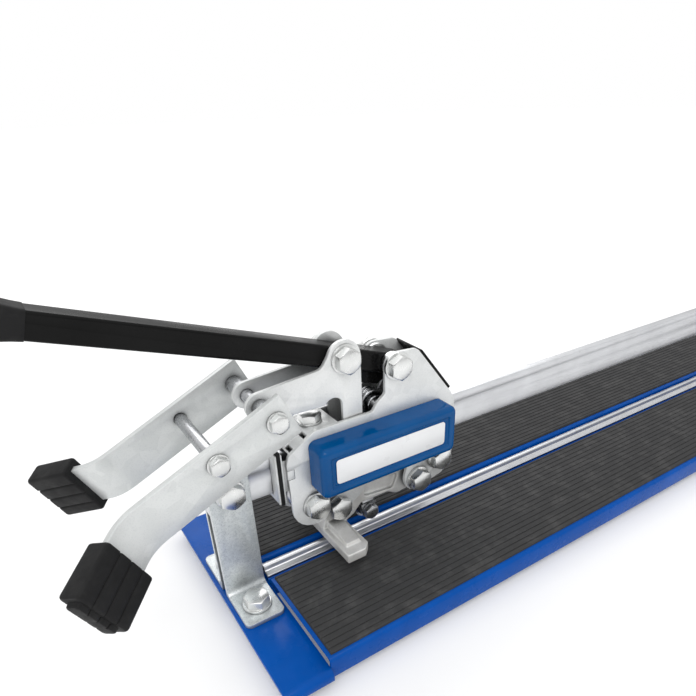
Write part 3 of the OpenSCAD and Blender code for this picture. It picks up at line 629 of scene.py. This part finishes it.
def table_mats():
    """Mats with fine ribs along the rail."""
    pitch, gap, deep, edge, margin = 6.0, 1.3, 0.8, 0.8, 4.0
    for name in ("mat_right", "mat_left"):
        low, high = (c / MM for c in corners(name))
        width = high.y - low.y
        ribs = int((width - margin) // pitch)
        first = (low.y + high.y) / 2 - ribs * pitch / 2
        outline = [(low.y, low.z), (low.y, high.z - edge), (low.y + edge, high.z)]
        for k in range(ribs + 1):
            y = first + k * pitch
            outline += [(y - gap / 2, high.z), (y - gap / 4, high.z - deep)]
            outline += [(y + gap / 4, high.z - deep), (y + gap / 2, high.z)]
        outline += [(high.y - edge, high.z), (high.y, high.z - edge), (high.y, low.z)]
        rings = []
        for x, drop in ((low.x, 0.7), (low.x + 0.7, 0.0), (high.x - 0.7, 0.0), (high.x, 0.7)):
            rings.append([Vector((x, y, max(z - drop, low.z))) * MM for y, z in outline])
        adopt(loft(name + "_ribbed", rings), "base", "rubber", name, material=MAT_RUBBER)


# ---------------------------------------------------------------- all pieces

covers()
return_spring()
handle_grip()
yoke_feet()
breaker_casting()
table_mats()

DONE = {"cover_right", "cover_left", "return_spring", "handle_grip", "yoke_foot_right", "yoke_foot_left"}
DONE |= {"breaker", "mat_right", "mat_left"}
BEVEL = {"zinc_sheet": 0.4, "zinc_hardware": 0.35, "rail_steel": 0.5, "blue_paint": 0.4, "black_paint": 0.4}
SPECIAL = {"post": SPANGLED, "yoke_arm": SHADED_ARM_ZINC}
for name in sorted(set(NODES) - DONE):
    material = next((m for start, m in SPECIAL.items() if name.startswith(start)), None)
    refine(name, BEVEL.get(SLOTS[name], 0.25), material)


# ---------------------------------------------------------------- stage


def area_light(name, place, aim, size, power):
    data = bpy.data.lights.new(name, "AREA")
    data.shape = "RECTANGLE"
    data.size, data.size_y = size
    data.energy = power
    obj = bpy.data.objects.new(name, data)
    obj.location = place
    obj.rotation_euler = (Vector(aim) - Vector(place)).to_track_quat("-Z", "Y").to_euler()
    bpy.context.scene.collection.objects.link(obj)


def studio_world():
    """White for the camera, and a soft tent with a darker horizon for reflections."""
    world = bpy.data.worlds.new("studio")
    world.use_nodes = True
    tree = world.node_tree
    tree.nodes.clear()
    out = tree.nodes.new("ShaderNodeOutputWorld")
    seen = tree.nodes.new("ShaderNodeBackground")
    seen.inputs[0].default_value = (1, 1, 1, 1)
    seen.inputs[1].default_value = 1.0
    tent = tree.nodes.new("ShaderNodeBackground")
    tent.inputs[1].default_value = 0.95
    coord = tree.nodes.new("ShaderNodeTexCoord")
    split = tree.nodes.new("ShaderNodeSeparateXYZ")
    ramp = tree.nodes.new("ShaderNodeValToRGB")
    stops = ((0.0, 0.55), (0.12, 0.40), (0.35, 0.95), (1.0, 1.05))
    for i, (place, tone) in enumerate(stops):
        stop = ramp.color_ramp.elements[i] if i < 2 else ramp.color_ramp.elements.new(place)
        stop.position = place
        stop.color = (tone, tone, tone, 1)
    tree.links.new(coord.outputs["Generated"], split.inputs[0])
    tree.links.new(split.outputs["Z"], ramp.inputs[0])
    tree.links.new(ramp.outputs[0], tent.inputs[0])
    ray = tree.nodes.new("ShaderNodeLightPath")
    mix = tree.nodes.new("ShaderNodeMixShader")
    tree.links.new(ray.outputs["Is Camera Ray"], mix.inputs[0])
    tree.links.new(tent.outputs[0], mix.inputs[1])
    tree.links.new(seen.outputs[0], mix.inputs[2])
    tree.links.new(mix.outputs[0], out.inputs["Surface"])
    bpy.context.scene.world = world


GLOW = {"near": 0.9, "far": 2.5, "least": 0.12, "most": 0.3}


def stage():
    """Plain pale floor, tent and two soft lamps."""
    bpy.ops.mesh.primitive_plane_add(size=30, location=(0, 0, -0.0005))
    floor = bpy.context.object
    floor.name = "floor"
    g = Graph("floor")
    tone = g.mix(g.ramp(g.noise(3, 3), 0.3, 0.7), (0.84, 0.84, 0.84), (0.87, 0.87, 0.87))
    # The lamps fade far away, so the floor glows a little more there than under the object
    far = g.tree.nodes.new("ShaderNodeVectorMath")
    far.operation = "LENGTH"
    g.link(g.position(), far.inputs[0])
    g.bsdf.inputs["Emission Color"].default_value = (1, 1, 1, 1)
    glow = g.ramp(far.outputs["Value"], GLOW["near"], GLOW["far"], GLOW["least"], GLOW["most"])
    g.link(glow, g.bsdf.inputs["Emission Strength"])
    floor.data.materials.append(g.set(color=tone, rough=0.7, specular=0.2))
    studio_world()
    area_light("key", (-1.2, -1.3, 2.0), (-0.3, 0, 0.1), (1.3, 1.3), 15)
    area_light("back", (0.4, 1.8, 1.6), (0, 0, 0.1), (2.2, 1.0), 14)
    bpy.context.scene.view_settings.view_transform = "Standard"


def camera():
    """The photo's camera, fitted to the visible parts."""
    data = bpy.data.cameras.new("camera")
    data.sensor_width = 36
    data.lens = 29.83
    data.shift_x = -0.0327
    data.shift_y = 0.1389
    data.clip_start = 0.01
    obj = bpy.data.objects.new("camera", data)
    obj.location = car(-239.06, -374.43, 276.96)
    obj.rotation_euler = Euler([math.radians(a) for a in (59.0253, 1.3207, -33.6422)], "XYZ")
    bpy.context.scene.collection.objects.link(obj)
    bpy.context.scene.camera = obj


stage()
camera()
